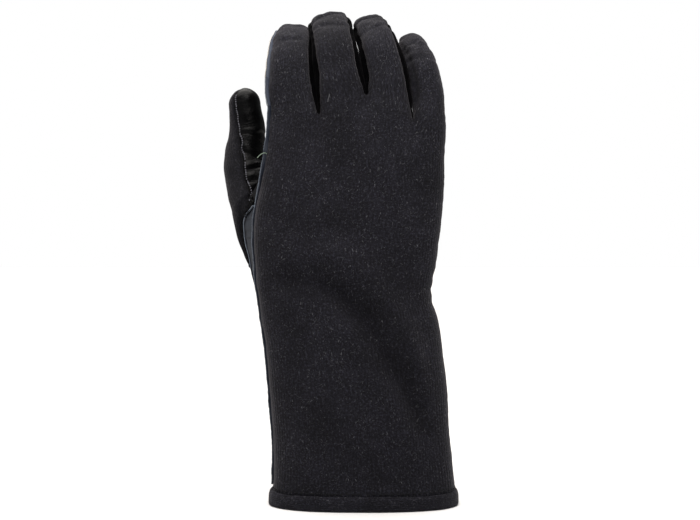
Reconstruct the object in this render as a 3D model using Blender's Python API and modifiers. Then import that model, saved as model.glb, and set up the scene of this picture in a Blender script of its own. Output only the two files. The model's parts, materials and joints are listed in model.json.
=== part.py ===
"""A right-hand heat resistant glove with a knitted back, a leather palm and a long gauntlet cuff.

The glove stands on its hem with the fingers up and a little curled. The origin is the middle of
the cuff's mouth, +Z runs to the fingertips, -Y is the back of the hand and -X is the thumb side.
Fabric that folds is cut into stiff panels, one set for each bone of the hand, with wedge gaps
between them that close as the joints bend.
"""

import math

import bpy
from mathutils import Vector

MM = 0.001

# Fabric, in millimetres.
KNIT_THICKNESS = 1.3
LEATHER_THICKNESS = 1.0
SEAM_GAP = 0.8  # clear space between two panels that are sewn together
PLY_GAP = 0.4  # clear space between a panel and what is sewn on its face
TUBE_POWER = 2.6  # superellipse exponent of the hand and cuff
FINGER_POWER = 2.5
THUMB_POWER = 2.1

# The hand and cuff tube, in millimetres:
# height, thumb side, little-finger side, back and palm.
TUBE = (
    (0.0, -53.5, 54.5, -29.0, 28.0),
    (14.0, -52.4, 53.4, -27.5, 26.5),
    (60.0, -54.8, 50.2, -26.0, 25.0),
    (100.0, -59.0, 45.0, -23.5, 23.0),
    (122.0, -61.0, 40.5, -21.5, 22.5),
    (145.0, -62.5, 43.8, -21.0, 24.0),
    (170.0, -60.5, 46.6, -20.5, 23.0),
    (200.0, -57.8, 48.2, -18.5, 20.0),
    (222.0, -56.3, 48.8, -15.5, 16.5),
    (240.0, -56.0, 48.6, -12.5, 14.0),
)
HEM_HEIGHT = 8.0
HEM_THICKNESS = 3.4
HEM_PROUD = 1.8
CUFF_SEAM_HEIGHT = 84.0  # where the knitted cuff ends and the leather heel begins, palm side
WRIST_HEIGHT = 116.0
ELASTIC_HEIGHT = 126.0
ELASTIC_WIDTH = 5.0

# Fingers, in millimetres and degrees. "forks" are the heights at which the finger parts from its
# neighbour on the thumb side and on the little-finger side, None where it has no neighbour.
FINGERS = {
    "index": {
        "root": (-41.2, 0.5, 230.0), "lean": -3.0, "half_width": (14.1, 11.0),
        "half_depth": (12.0, 8.8), "bones": (27.0, 19.0, 14.0), "curl": (16.0, 46.0, 74.0),
        "forks": (None, 230.0), "edges": (-90.0, -26.0),
    },
    "middle": {
        "root": (-11.0, -1.0, 238.0), "lean": -8.0, "half_width": (14.2, 12.0),
        "half_depth": (12.4, 8.8), "bones": (28.0, 20.0, 14.0), "curl": (16.0, 46.0, 74.0),
        "forks": (230.0, 238.0), "edges": (-26.0, 4.0),
    },
    "ring": {
        "root": (16.9, -0.5, 238.0), "lean": -11.5, "half_width": (12.0, 10.8),
        "half_depth": (12.0, 8.6), "bones": (27.0, 20.0, 14.0), "curl": (16.0, 46.0, 74.0),
        "forks": (238.0, 223.0), "edges": (4.0, 30.5),
    },
    "little": {
        "root": (40.3, 1.5, 223.0), "lean": -10.0, "half_width": (8.4, 7.7),
        "half_depth": (10.6, 7.8), "bones": (29.0, 17.0, 12.0), "curl": (12.0, 38.0, 62.0),
        "forks": (223.0, None), "edges": (30.5, 90.0),
    },
}
FINGER_TIP_LENGTH = 9.0  # rounded end beyond the last bone
BASE_JOINT = 5.0  # the base knuckle's height above the fork
BASE_BEND = (-15.0, 45.0)
MIDDLE_BEND = (-28.0, 45.0)
TIP_BEND = (-16.8, 27.0)
SIDE_SEAM = 56.0  # angle round the finger of the seams beside the side walls
JOINT_CLEARANCE = 0.8

# The thumb's centre line, in millimetres: x, y, height, half width and half depth.
THUMB = (
    (-50.0, 10.0, 156.0, 18.0, 17.0),
    (-62.0, 21.5, 176.0, 15.0, 14.5),
    (-70.6, 30.0, 199.0, 12.4, 12.4),
    (-70.2, 34.0, 221.0, 9.8, 10.4),
    (-72.4, 35.5, 247.5, 8.4, 8.8),
)
THUMB_BACK = Vector((-0.94, 0.33, 0.0))
THUMB_SEAM = 74.0
THUMB_TIP_LENGTH = 9.0
THUMB_ROOT_JOINT = Vector((-63.5, 23.5, 181.0))
THUMB_ROOT_GAP = 3.0
THUMB_KNUCKLE = 0.66  # share of the thumb's height at its tip joint
THUMB_FLEX = (-25.0, 4.0)
THUMB_BEND = (-15.0, 15.0)

# The hole in the palm that the thumb grows out of.
HOLE_HEIGHT = 157.0
HOLE_HALF_HEIGHT = 22.0
HOLE_INNER = 214.0  # angles round the hand
HOLE_OUTER = 250.0
SIDE_SEAM_ANGLE = 268.0

EDGE_RADIUS = 0.75
THREAD_RADIUS = 0.4


def clear_scene():
    for old in list(bpy.data.objects):
        bpy.data.objects.remove(old, do_unlink=True)


def make_material(name, colour, roughness):
    material = bpy.data.materials.new(name)
    material.use_nodes = True
    shader = material.node_tree.nodes["Principled BSDF"]
    shader.inputs["Base Color"].default_value = (*colour, 1.0)
    shader.inputs["Roughness"].default_value = roughness
    shader.inputs["Metallic"].default_value = 0.0
    return material


def ramp(t):
    t = min(max(t, 0.0), 1.0)
    return t * t * (3.0 - 2.0 * t)


def mix(a, b, t):
    return a + (b - a) * t


def steps(first, last, count):
    """count + 1 even values from first to last."""
    return [mix(first, last, i / count) for i in range(count + 1)]


def signed_power(value, power):
    return math.copysign(abs(value) ** power, value)


def section(angle, half_width, half_depth, power):
    """A point on a superellipse: 0 degrees is the back, 90 the little-finger side, 180 the palm."""
    a = math.radians(angle)
    return (
        half_width * signed_power(math.sin(a), 2.0 / power),
        -half_depth * signed_power(math.cos(a), 2.0 / power),
    )


def through_stations(stations, at, key):
    """The values of the stations at one value of their column key, on a Catmull-Rom curve."""
    last = len(stations) - 2
    i = 0
    while i < last and stations[i + 1][key] < at:
        i += 1
    before = stations[max(i - 1, 0)]
    here, there = stations[i], stations[i + 1]
    after = stations[min(i + 2, last + 1)]
    t = (at - here[key]) / (there[key] - here[key])
    return [
        0.5 * (2 * b + (c - a) * t + (2 * a - 5 * b + 4 * c - d) * t * t
               + (3 * b - a - 3 * c + d) * t ** 3)
        for a, b, c, d in zip(before, here, there, after)
    ]


def tube_point(height, angle, inset=0.0):
    """A point on the hand and cuff tube, in millimetres."""
    _, left, right, back, palm = through_stations(TUBE, height, 0)
    x, y = section(angle, (right - left) / 2 - inset, (palm - back) / 2 - inset, TUBE_POWER)
    return Vector(((left + right) / 2 + x, (back + palm) / 2 + y, height))


def tube_half_depth(height):
    _, _, _, back, palm = through_stations(TUBE, height, 0)
    return (palm - back) / 2


class Finger:
    """A curled finger stall: its centre line, its sections and its three joints."""

    def __init__(self, name, data):
        self.name = name
        self.data = data
        lean = math.radians(data["lean"])
        self.along = Vector((math.sin(lean), 0.0, math.cos(lean)))
        self.across = Vector((math.cos(lean), 0.0, -math.sin(lean)))
        self.length = sum(data["bones"]) + FINGER_TIP_LENGTH
        self.joints = [BASE_JOINT, data["bones"][0], data["bones"][0] + data["bones"][1]]
        self.path = self.trace()

    def curl_at(self, s):
        low, middle, tip = self.data["curl"]
        spread = 9.0
        first = ramp((s - self.joints[1] + spread) / (2 * spread))
        second = ramp((s - self.joints[2] + spread) / (2 * spread))
        return math.radians(low + (middle - low) * first + (tip - middle) * second)

    def direction(self, s):
        curl = self.curl_at(s)
        return self.along * math.cos(curl) + Vector((0, 1, 0)) * math.sin(curl)

    def trace(self):
        """The centre line in 1 mm steps from the root to the fingertip."""
        points = [Vector(self.data["root"])]
        for i in range(int(self.length) + 1):
            points.append(points[-1] + self.direction(i + 0.5))
        return points

    def centre(self, s):
        if s < 0:
            return self.path[0] + self.direction(0) * s
        i = min(int(s), len(self.path) - 2)
        return self.path[i].lerp(self.path[i + 1], s - i)

    def size_at(self, s):
        share = ramp(s / self.length)
        width = mix(*self.data["half_width"], share)
        depth = mix(*self.data["half_depth"], share)
        past = max(s - (self.length - FINGER_TIP_LENGTH), 0.0) / FINGER_TIP_LENGTH
        cap = math.sqrt(max(1.0 - past * past, 0.0))
        return width * cap, depth * cap

    def point(self, s, angle, shift=0.0):
        """A point round the stall, in millimetres. shift moves it towards the palm."""
        x, y = section(angle, *self.size_at(s), FINGER_POWER)
        curl = self.curl_at(s)
        palmward = Vector((0, 1, 0)) * math.cos(curl) - self.along * math.sin(curl)
        return self.centre(s) + self.across * x + palmward * (y + shift)

    def offset(self, s, angle):
        """How far a point lies on the palm side of the centre line."""
        return section(angle, *self.size_at(s), FINGER_POWER)[1]

    def pivot(self, joint):
        return self.centre(self.joints[joint])


def wedge(offset, bend):
    """Half the gap that a joint needs at that distance palmward of its axis."""
    lowest, highest = bend
    swing = highest if offset > 0 else -lowest
    return JOINT_CLEARANCE + abs(offset) * math.tan(math.radians(swing / 2))


def clear_of(finger, s, angle, bend):
    """Half the gap along the centre line, longer where the curl shortens the palm side."""
    offset = finger.offset(s, angle)
    curve = (finger.curl_at(s + 3.0) - finger.curl_at(s - 3.0)) / 6.0
    return wedge(offset, bend) / min(1.0, 1.0 - 1.05 * curve * offset)


# Building


def new_object(name, data, body, material):
    thing = bpy.data.objects.new(name, data)
    glove.objects.link(thing)
    thing.parent = pivots[body]
    thing.data.materials.append(material)
    return thing


def panel(name, patches, body, material, thickness):
    """A sewn panel: one or more grids of points joined where they meet, made thick inwards."""
    origin = pivot_points[body]
    mesh = bpy.data.meshes.new(name)
    vertices, faces, known = [], [], {}

    def index_of(point):
        key = tuple(round(c, 3) for c in point)
        if key not in known:
            known[key] = len(vertices)
            vertices.append((point - origin) * MM)
        return known[key]

    for rows in patches:
        ids = [[index_of(p) for p in row] for row in rows]
        for low, high in zip(ids, ids[1:]):
            for i in range(len(low) - 1):
                faces.append((low[i], low[i + 1], high[i + 1], high[i]))
    mesh.from_pydata(vertices, [], faces)
    mesh.validate()
    mesh.shade_smooth()
    mesh.set_sharp_from_angle(angle=math.radians(50))
    thing = new_object(name, mesh, body, material)
    solidify = thing.modifiers.new("Thickness", "SOLIDIFY")
    solidify.thickness = thickness * MM
    solidify.offset = -1.0
    solidify.use_even_offset = True
    return thing


def cord(name, points, radius, body, material, closed=False):
    """A thin round edge or thread along a line of points."""
    curve = bpy.data.curves.new(name, "CURVE")
    curve.dimensions = "3D"
    curve.bevel_depth = radius * MM
    curve.bevel_resolution = 1
    curve.use_fill_caps = True
    spline = curve.splines.new("POLY")
    spline.points.add(len(points) - 1)
    spline.use_cyclic_u = closed
    for slot, point in zip(spline.points, points):
        slot.co = (*((point - pivot_points[body]) * MM), 1.0)
    return new_object(name, curve, body, material)


def add_body(name, point, parent=None):
    """An empty on the joint that a group of panels turns about."""
    empty = bpy.data.objects.new(name + "_pivot", None)
    glove.objects.link(empty)
    empty.empty_display_size = 5 * MM
    empty.location = (point - (pivot_points[parent] if parent else Vector())) * MM
    if parent:
        empty.parent = pivots[parent]
    pivots[name] = empty
    pivot_points[name] = point


def columns(first, last, pitch=16.0):
    return steps(first, last, max(2, round(abs(last - first) / pitch)))


# Cuff


def cuff_panel(name, angles, low, high, material, thickness, side):
    """A panel of the cuff whose upper edge, if high is None, clears the wrist joint."""
    rows = []
    top = WRIST_HEIGHT if high is None else high
    for share in steps(0.0, 1.0, 5):
        row = []
        for angle in angles:
            limit = top
            if high is None:
                offset = tube_point(top, angle).y
                limit = top - wedge(offset, WRIST_BEND)
            point = tube_point(mix(low, limit, share), angle)
            row.append(point + Vector((0, side * SEAM_GAP / 2, 0)))
        rows.append(row)
    return panel(name, [rows], "cuff", material, thickness)


def make_cuff():
    base = HEM_HEIGHT + PLY_GAP
    cuff_panel("cuff_back", columns(-88, 88), base, None, knit, KNIT_THICKNESS, -1)
    palm_angles = columns(92, 268)
    cuff_panel("cuff_palm", palm_angles, base, CUFF_SEAM_HEIGHT, knit, KNIT_THICKNESS, 1)
    low = CUFF_SEAM_HEIGHT + SEAM_GAP
    cuff_panel("palm_heel", palm_angles, low, None, leather, LEATHER_THICKNESS, 1)
    make_hem()
    make_hem_thread()


def make_hem():
    """The folded band round the cuff's mouth, flat underneath."""
    angles = steps(0.0, 360.0, 40)
    rows = [[tube_point(0.0, a, -HEM_PROUD) for a in angles]]
    top = [tube_point(0.0, a, -HEM_PROUD) + Vector((0, 0, HEM_HEIGHT)) for a in angles]
    rows.append(top)
    band = panel("hem_band", [rows], "cuff", knit, HEM_THICKNESS)
    bevel = band.modifiers.new("Rounded fold", "BEVEL")
    bevel.width = 0.9 * MM
    bevel.segments = 2
    bevel.limit_method = "ANGLE"
    bevel.angle_limit = math.radians(60)


def make_hem_thread():
    """The sewing thread that runs round above the hem's fold."""
    height = HEM_HEIGHT + 1.6
    standing = THREAD_RADIUS + PLY_GAP + 0.5
    cord(
        "hem_thread",
        [tube_point(height, a, -standing) for a in steps(0.0, 360.0, 40)[:-1]],
        THREAD_RADIUS, "cuff", thread, closed=True,
    )


# Hand


def share_angle(finger, share, palm):
    """The angle round the hand tube under that share of a finger's width."""
    low, high = finger.data["edges"]
    ends = []
    for edge in (low, high):
        if abs(edge) == 90.0:
            ends.append(math.copysign(88.0, edge))
            continue
        _, left, right, _, _ = through_stations(TUBE, 232.0, 0)
        u = (edge - (left + right) / 2) / ((right - left) / 2)
        ends.append(math.degrees(math.asin(signed_power(u, TUBE_POWER / 2))))
    angle = mix(ends[0], ends[1], (share + 1) / 2)
    return 180.0 - angle if palm else angle


def stall_angle(finger, share, palm):
    """The angle round a finger at that share of a panel's width, -1 to 1."""
    left, right = stall_edges(finger, 0.0)
    angle = mix(left, right, (share + 1) / 2)
    return 180.0 - angle if palm else angle


def stall_edges(finger, s):
    """The seams of the back panel: beyond the last joint there is no side wall."""
    seam = SIDE_SEAM if s < finger.joints[2] else 88.0
    left = -88.0 if finger.data["forks"][0] is None else -seam
    right = 88.0 if finger.data["forks"][1] is None else seam
    return left, right


def hand_top(finger, share, palm):
    """How far up a finger the hand's panel reaches: to its base knuckle, or to a fork."""
    if abs(share) == 1.0:
        fork = finger.data["forks"][0 if share < 0 else 1]
        if fork is not None:
            return fork - 1.0 - finger.data["root"][2]
    s = finger.joints[0]
    return s - clear_of(finger, s, stall_angle(finger, share, palm), BENDS[0])


def hand_patch(finger, palm):
    """The part of the hand's back or palm under one finger, up to the base knuckle."""
    side = 1 if palm else -1
    root = finger.data["root"][2]
    rows = []
    for level in steps(0.0, 1.0, 11):
        row = []
        for share in steps(-1.0, 1.0, 4):
            angle = share_angle(finger, share, palm)
            bottom = WRIST_HEIGHT + wedge(tube_point(WRIST_HEIGHT, angle).y, WRIST_BEND)
            height = mix(bottom, root + hand_top(finger, share, palm), level)
            if palm and finger.name == "index":
                angle = mix(hole_edge(height), share_angle(finger, 1.0, palm), (share + 1) / 2)
            point = tube_point(min(height, root), angle)
            point.z = height
            at_fork = abs(share) == 1.0 and finger.data["forks"][0 if share < 0 else 1]
            if not at_fork:
                over_finger = finger.point(height - root, stall_angle(finger, share, palm))
                point = point.lerp(over_finger, ramp((height - root + 24.0) / 26.0))
            row.append(point + Vector((0, side * SEAM_GAP / 2, 0)))
        rows.append(row)
    return rows


def hole_edge(height):
    """The palm's edge on the thumb side: it bends in round the thumb's root."""
    reach = (height - HOLE_HEIGHT) / (HOLE_HALF_HEIGHT + 3.0)
    bite = max(1.0 - abs(reach) ** 5, 0.0) ** 0.2
    return mix(SIDE_SEAM_ANGLE, HOLE_INNER - 2.0, bite)


def make_hand():
    for name, palm, material, thick in (
        ("hand_back", False, knit, KNIT_THICKNESS),
        ("palm", True, leather, LEATHER_THICKNESS),
    ):
        patches = [hand_patch(finger, palm) for finger in fingers]
        if palm:
            patches = [[row[::-1] for row in rows] for rows in patches]
        panel(name, patches, "hand", material, thick)
    make_fork_gussets()
    make_thumb_gore()
    make_thumb_root()
    make_elastic()


def make_fork_gussets():
    """The saddle of fabric between each two fingers, from the back panel to the palm."""
    for low, high in zip(fingers, fingers[1:]):
        height = low.data["forks"][1] - 2.6
        across = high.data["edges"][0]
        back = tube_point(height, share_angle(high, -1.0, False))
        palm = tube_point(height, share_angle(high, -1.0, True))
        inset = 4.3
        rows = []
        for y in steps(back.y + inset, palm.y - inset, 4):
            rows.append([Vector((across + x, y, height)) for x in (-2.2, 0.0, 2.2)])
        name = "fork_gusset_" + low.name + "_" + high.name
        panel(name, [rows], "hand", knit, KNIT_THICKNESS)


def make_thumb_gore():
    """The narrow leather piece between the thumb's root and the side seam."""
    rows = []
    for height in steps(HOLE_HEIGHT - 21.0, HOLE_HEIGHT + 16.0, 5):
        rows.append([tube_point(height, a) for a in (HOLE_OUTER + 2.0, 259.0, 265.5)])
    panel("thumb_gore", [rows], "hand", gore, LEATHER_THICKNESS)


def thumb_frame(s):
    """Centre, across and backward directions and sizes of the thumb at a share of its height."""
    low, high = THUMB[0][2], THUMB[-1][2]
    height = mix(low, high, s)
    x, y, z, width, depth = through_stations(THUMB, height, 2)
    ahead = Vector(through_stations(THUMB, min(height + 1.0, high), 2)[:3])
    behind = Vector(through_stations(THUMB, max(height - 1.0, low), 2)[:3])
    forward = (ahead - behind).normalized()
    back = (THUMB_BACK - forward * THUMB_BACK.dot(forward)).normalized()
    across = forward.cross(back)
    past = max(height - (high - THUMB_TIP_LENGTH), 0.0) / THUMB_TIP_LENGTH
    cap = math.sqrt(max(1.0 - past * past, 0.0))
    return Vector((x, y, z)), across, back, width * cap, depth * cap


def thumb_point(s, angle, shift=0.0):
    centre, across, back, width, depth = thumb_frame(s)
    x, y = section(angle, width, depth, THUMB_POWER)
    return centre + across * x - back * (y + shift)


def thumb_share(height):
    return (height - THUMB[0][2]) / (THUMB[-1][2] - THUMB[0][2])


def hole_point(angle, inset=0.0):
    """A point of the thumb hole, for that angle round the thumb."""
    a = math.radians(angle)
    height = HOLE_HEIGHT - (HOLE_HALF_HEIGHT - inset) * math.cos(a)
    middle = (HOLE_INNER + HOLE_OUTER) / 2
    half = (HOLE_OUTER - HOLE_INNER) / 2 - inset
    return tube_point(height, middle + half * math.sin(a))


def thumb_panel(name, angles, shares, body, material, thickness, shift):
    rows = [[thumb_point(s(a), a, shift) for a in angles] for s in shares]
    return panel(name, [rows], body, material, thickness)


def make_thumb_root():
    """The flared start of the thumb, from the hole in the palm up to the root joint."""
    top = thumb_share(THUMB_ROOT_JOINT.z - THUMB_ROOT_GAP)
    halves = (
        ("thumb_root_back", columns(-THUMB_SEAM, THUMB_SEAM), knit, KNIT_THICKNESS),
        ("thumb_root_pad", columns(THUMB_SEAM + 6, 354 - THUMB_SEAM), leather, LEATHER_THICKNESS),
    )
    for name, angles, material, thickness in halves:
        rows = []
        for level in steps(0.0, 1.0, 3):
            rows.append(
                [hole_point(a, 1.5).lerp(thumb_point(top, a), level) for a in angles]
            )
        panel(name, [rows], "hand", material, thickness)


def make_elastic():
    """The elastic tape sewn inside the heel of the palm, which draws the wrist in."""
    inset = LEATHER_THICKNESS + PLY_GAP + 0.4
    rows = []
    for height in (ELASTIC_HEIGHT, ELASTIC_HEIGHT + ELASTIC_WIDTH):
        rows.append([tube_point(height, a, inset) for a in columns(128, 204, 13)])
    panel("wrist_elastic", [rows], "hand", elastic, 1.0)


# Fingers


def strip(finger, angles_at, start, end, shift, tip):
    """A lengthwise strip of a finger stall between two joints, or up to the fingertip."""
    columns_wanted = 5
    rows = []
    levels = steps(0.0, 1.0, 6 if tip else 3)
    for level in levels:
        row = []
        for i in range(columns_wanted):
            share = i / (columns_wanted - 1)
            low = finger.joints[start]
            low += clear_of(finger, low, mix(*angles_at(low), share), BENDS[start])
            if tip:
                # Rows crowd towards the round end.
                round_start = finger.length - FINGER_TIP_LENGTH
                s = mix(low, round_start, level * 2.0)
                if level > 0.5:
                    turn = math.radians(80.0 * (level - 0.5) * 2.0)
                    s = round_start + FINGER_TIP_LENGTH * math.sin(turn)
            else:
                high = finger.joints[end]
                high -= clear_of(finger, high, mix(*angles_at(high), share), BENDS[end])
                s = mix(low, high, level)
            row.append(finger.point(s, mix(*angles_at(s), share), shift))
        rows.append(row)
    return rows


def make_finger(finger):
    """Back, palm and side walls of one finger, for each of its three bones."""
    gap = 7.0

    def back(s):
        left, right = stall_edges(finger, s)
        return left, right

    def palm(s):
        left, right = stall_edges(finger, s)
        return 180.0 - right, 180.0 - left

    def little_side(s):
        right = stall_edges(finger, s)[1]
        return right + gap, 180.0 - right - gap

    def thumb_side(s):
        left = stall_edges(finger, s)[0]
        return 180.0 - left + gap, 360.0 + left - gap

    has_thumb_side, has_little_side = (f is not None for f in finger.data["forks"])
    walls = []
    if has_little_side:
        walls.append(("_little_side", little_side))
    if has_thumb_side:
        walls.append(("_thumb_side", thumb_side))
    for start, bone in enumerate(("lower", "middle", "tip")):
        body = finger.name + "_" + bone
        tip = bone == "tip"
        end = min(start + 1, 2)
        half_gap = SEAM_GAP / 2
        back_strip = strip(finger, back, start, end, -half_gap, tip)
        panel(body + "_back", [back_strip], body, knit, KNIT_THICKNESS)
        palm_strip = strip(finger, palm, start, end, half_gap, tip)
        panel(body + "_palm", [palm_strip], body, leather, LEATHER_THICKNESS)
        if tip:
            continue
        for suffix, angles_at in walls:
            wall = side_wall(finger, angles_at, start, end)
            panel(body + suffix, [wall], body, knit, KNIT_THICKNESS)


def side_wall(finger, angles_at, start, end):
    """The side wall of one bone, between the back and the palm, pointed at the joints."""
    rows = []
    for level in steps(0.0, 1.0, 3):
        row = []
        for share in (0.0, 0.5, 1.0):
            low = finger.joints[start] + 0.4
            low += clear_of(finger, low, mix(*angles_at(low), share), BENDS[start])
            high = finger.joints[end] - 0.4
            high -= clear_of(finger, high, mix(*angles_at(high), share), BENDS[end])
            s = mix(low, high, level)
            row.append(finger.point(s, mix(*angles_at(s), share)))
        rows.append(row)
    return rows


def make_thumb():
    knuckle = thumb_share(mix(THUMB[0][2], THUMB[-1][2], THUMB_KNUCKLE))
    span = THUMB[-1][2] - THUMB[0][2]

    def near(joint, bend, up):
        def limit(angle):
            _, _, _, width, depth = thumb_frame(joint)
            offset = section(angle, width, depth, THUMB_POWER)[1]
            return joint + up * wedge(offset, bend) / span
        return limit

    root = thumb_share(THUMB_ROOT_JOINT.z)
    parts = (
        ("thumb_lower", near(root, THUMB_FLEX, 1), near(knuckle, THUMB_BEND, -1), 4),
        ("thumb_tip", near(knuckle, THUMB_BEND, 1), None, 8),
    )
    halves = (
        ("_back", columns(-THUMB_SEAM, THUMB_SEAM, 24), knit, KNIT_THICKNESS, -0.2),
        ("_pad", columns(THUMB_SEAM + 5, 355 - THUMB_SEAM, 24), leather, LEATHER_THICKNESS, 0.2),
    )
    for body, low, high, count in parts:
        for suffix, angles, material, thickness, shift in halves:
            rows = []
            for level in steps(0.0, 1.0, count):
                row = []
                for angle in angles:
                    start = low(angle)
                    if high:
                        s = mix(start, high(angle), level)
                    else:
                        round_start = 1.0 - THUMB_TIP_LENGTH / span
                        s = mix(start, round_start, min(level * 2.0, 1.0))
                        if level > 0.5:
                            turn = math.radians(76.0 * (level - 0.5) * 2.0)
                            s = round_start + math.sin(turn) * (1.0 - round_start)
                    row.append(thumb_point(s, angle, shift))
                rows.append(row)
            panel(body + suffix, [rows], body, material, thickness)


# Side seam


def seam_line(points):
    """Points moved out from the thumb side so that an edge there clears the panels."""
    out = Vector((-(EDGE_RADIUS + PLY_GAP), 0, 0))
    return [p + out for p in points]


def make_side_seam():
    """The raw leather edge that stands along the side seam, from the hem to the index tip."""
    index = fingers[0]
    stretches = {
        "cuff": [tube_point(h, -90) for h in steps(HEM_HEIGHT + 6.0, WRIST_HEIGHT - 1.0, 10)],
        "hand": [tube_point(h, -90) for h in steps(WRIST_HEIGHT + 1.0, 228.0, 11)],
    }
    for start, bone in enumerate(("lower", "middle", "tip")):
        low = index.joints[start] + 1.0
        high = index.joints[start + 1] - 1.0 if start < 2 else index.length - 4.0
        stretches["index_" + bone] = [index.point(s, -90) for s in steps(low, high, 4)]
    for body, points in stretches.items():
        cord("side_seam_edge_" + body, seam_line(points), EDGE_RADIUS, body, edge_leather)


# The glove

clear_scene()
glove = bpy.data.collections.new("heat_resistant_glove")
bpy.context.scene.collection.children.link(glove)
pivots = {}
pivot_points = {}

knit = make_material("knit", (0.028, 0.027, 0.034), 0.95)
leather = make_material("leather", (0.012, 0.012, 0.013), 0.42)
gore = make_material("gore_leather", (0.045, 0.050, 0.062), 0.5)
edge_leather = make_material("edge_leather", (0.055, 0.075, 0.105), 0.6)
thread = make_material("thread", (0.010, 0.010, 0.012), 0.8)
elastic = make_material("elastic", (0.02, 0.02, 0.02), 0.9)

WRIST_BEND = (-30.0, 40.0)
BENDS = (BASE_BEND, MIDDLE_BEND, TIP_BEND)
fingers = [Finger(name, data) for name, data in FINGERS.items()]

add_body("cuff", Vector((0, 0, 0)))
add_body("hand", Vector((-10.0, 0.5, WRIST_HEIGHT)), "cuff")
for finger in fingers:
    add_body(finger.name + "_lower", finger.pivot(0), "hand")
    add_body(finger.name + "_middle", finger.pivot(1), finger.name + "_lower")
    add_body(finger.name + "_tip", finger.pivot(2), finger.name + "_middle")
add_body("thumb_lower", THUMB_ROOT_JOINT, "hand")
add_body("thumb_tip", thumb_frame(THUMB_KNUCKLE)[0], "thumb_lower")

make_cuff()
make_hand()
for finger in fingers:
    make_finger(finger)
make_thumb()
make_side_seam()
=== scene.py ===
"""Looks of the heat resistant glove: fabric, leather, seams, camera and light."""

import json
import math

import bmesh
import bpy
import numpy as np
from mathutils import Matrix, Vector, noise
from mathutils.kdtree import KDTree

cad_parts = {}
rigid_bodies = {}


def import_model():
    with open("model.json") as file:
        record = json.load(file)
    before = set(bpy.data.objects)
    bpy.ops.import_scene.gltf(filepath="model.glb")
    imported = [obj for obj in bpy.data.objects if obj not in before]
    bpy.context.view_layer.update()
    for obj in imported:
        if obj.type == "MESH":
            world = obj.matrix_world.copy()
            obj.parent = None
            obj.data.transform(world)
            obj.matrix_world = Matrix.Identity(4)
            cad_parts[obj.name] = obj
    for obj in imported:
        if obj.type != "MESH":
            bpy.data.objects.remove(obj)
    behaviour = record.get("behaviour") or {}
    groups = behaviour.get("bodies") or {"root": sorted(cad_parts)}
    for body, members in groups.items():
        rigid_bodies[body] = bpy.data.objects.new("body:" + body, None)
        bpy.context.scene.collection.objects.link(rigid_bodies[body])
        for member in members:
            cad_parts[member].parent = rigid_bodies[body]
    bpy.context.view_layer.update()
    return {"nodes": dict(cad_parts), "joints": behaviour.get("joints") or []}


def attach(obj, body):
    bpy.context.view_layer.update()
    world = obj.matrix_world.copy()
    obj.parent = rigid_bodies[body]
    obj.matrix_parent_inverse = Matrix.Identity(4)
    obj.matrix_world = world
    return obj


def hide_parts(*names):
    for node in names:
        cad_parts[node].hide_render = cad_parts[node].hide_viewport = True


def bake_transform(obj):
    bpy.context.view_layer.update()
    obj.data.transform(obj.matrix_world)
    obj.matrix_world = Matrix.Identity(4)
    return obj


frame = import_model()

MM = 0.001

# ---- the glove's shape, in millimetres

TUBE_POWER = 2.6
FINGER_POWER = 3.0
THUMB_POWER = 2.1

# height, thumb side, little-finger side, back, palm
TUBE = np.array([
    (-6.0, -53.6, 54.6, -28.6, 28.0),
    (4.0, -52.3, 54.4, -28.0, 27.4),
    (16.0, -51.5, 53.4, -27.2, 26.4),
    (36.0, -51.5, 51.2, -26.6, 25.8),
    (64.0, -53.6, 49.6, -26.0, 25.0),
    (92.0, -56.1, 46.6, -24.4, 23.6),
    (106.0, -58.2, 44.4, -23.2, 23.0),
    (120.0, -60.2, 40.6, -21.8, 22.6),
    (128.0, -61.6, 40.9, -21.2, 22.9),
    (141.0, -62.2, 43.2, -21.0, 23.8),
    (155.0, -63.1, 44.8, -21.0, 23.8),
    (169.0, -62.3, 46.4, -20.6, 23.0),
    (183.0, -59.8, 47.6, -19.9, 21.8),
    (197.0, -57.4, 48.1, -18.9, 20.3),
    (217.0, -55.4, 48.7, -16.4, 17.4),
    (231.0, -54.6, 48.6, -14.2, 15.2),
    (244.0, -54.4, 48.2, -12.4, 13.6),
])

# lean: degrees off the vertical at the root and at the tip; seam: where the back's seams lie
FINGERS = {
    "index": dict(root=(-40.4, 0.5, 230.0), lean=(-5.0, 7.0), width=(13.9, 10.8), depth=(12.2, 11.0),
                  bones=(27.0, 19.0, 14.0), curl=(15.0, 43.0, 70.0), forks=(None, 226.0), cells=26,
                  seam=(75.0, 56.0)),
    "middle": dict(root=(-11.6, -1.0, 238.0), lean=(-9.0, -10.0), width=(13.0, 12.7), depth=(12.6, 10.8),
                   bones=(28.0, 20.0, 14.0), curl=(16.0, 45.0, 72.0), forks=(226.0, 238.0), cells=20,
                   seam=(58.0, 58.0)),
    "ring": dict(root=(16.0, -0.5, 238.0), lean=(-9.0, -22.0), width=(12.2, 10.0), depth=(12.2, 10.6),
                 bones=(27.0, 20.0, 14.0), curl=(16.0, 45.0, 72.0), forks=(238.0, 223.0), cells=18,
                 seam=(58.0, 58.0)),
    "little": dict(root=(39.5, 1.5, 223.0), lean=(-1.5, -27.0), width=(9.1, 8.3), depth=(10.8, 9.4),
                   bones=(29.0, 17.0, 12.0), curl=(12.0, 37.0, 60.0), forks=(223.0, None), cells=20,
                   seam=(36.0, 90.0)),
}
SECTOR_X = (-24.9, 2.6, 29.6)  # where the fingers part, across the hand
TIP_LENGTH = 9.0
BASE_JOINT = 5.0
WALL_CELLS = 8
SEAM_TURN = 13.0  # degrees

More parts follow.
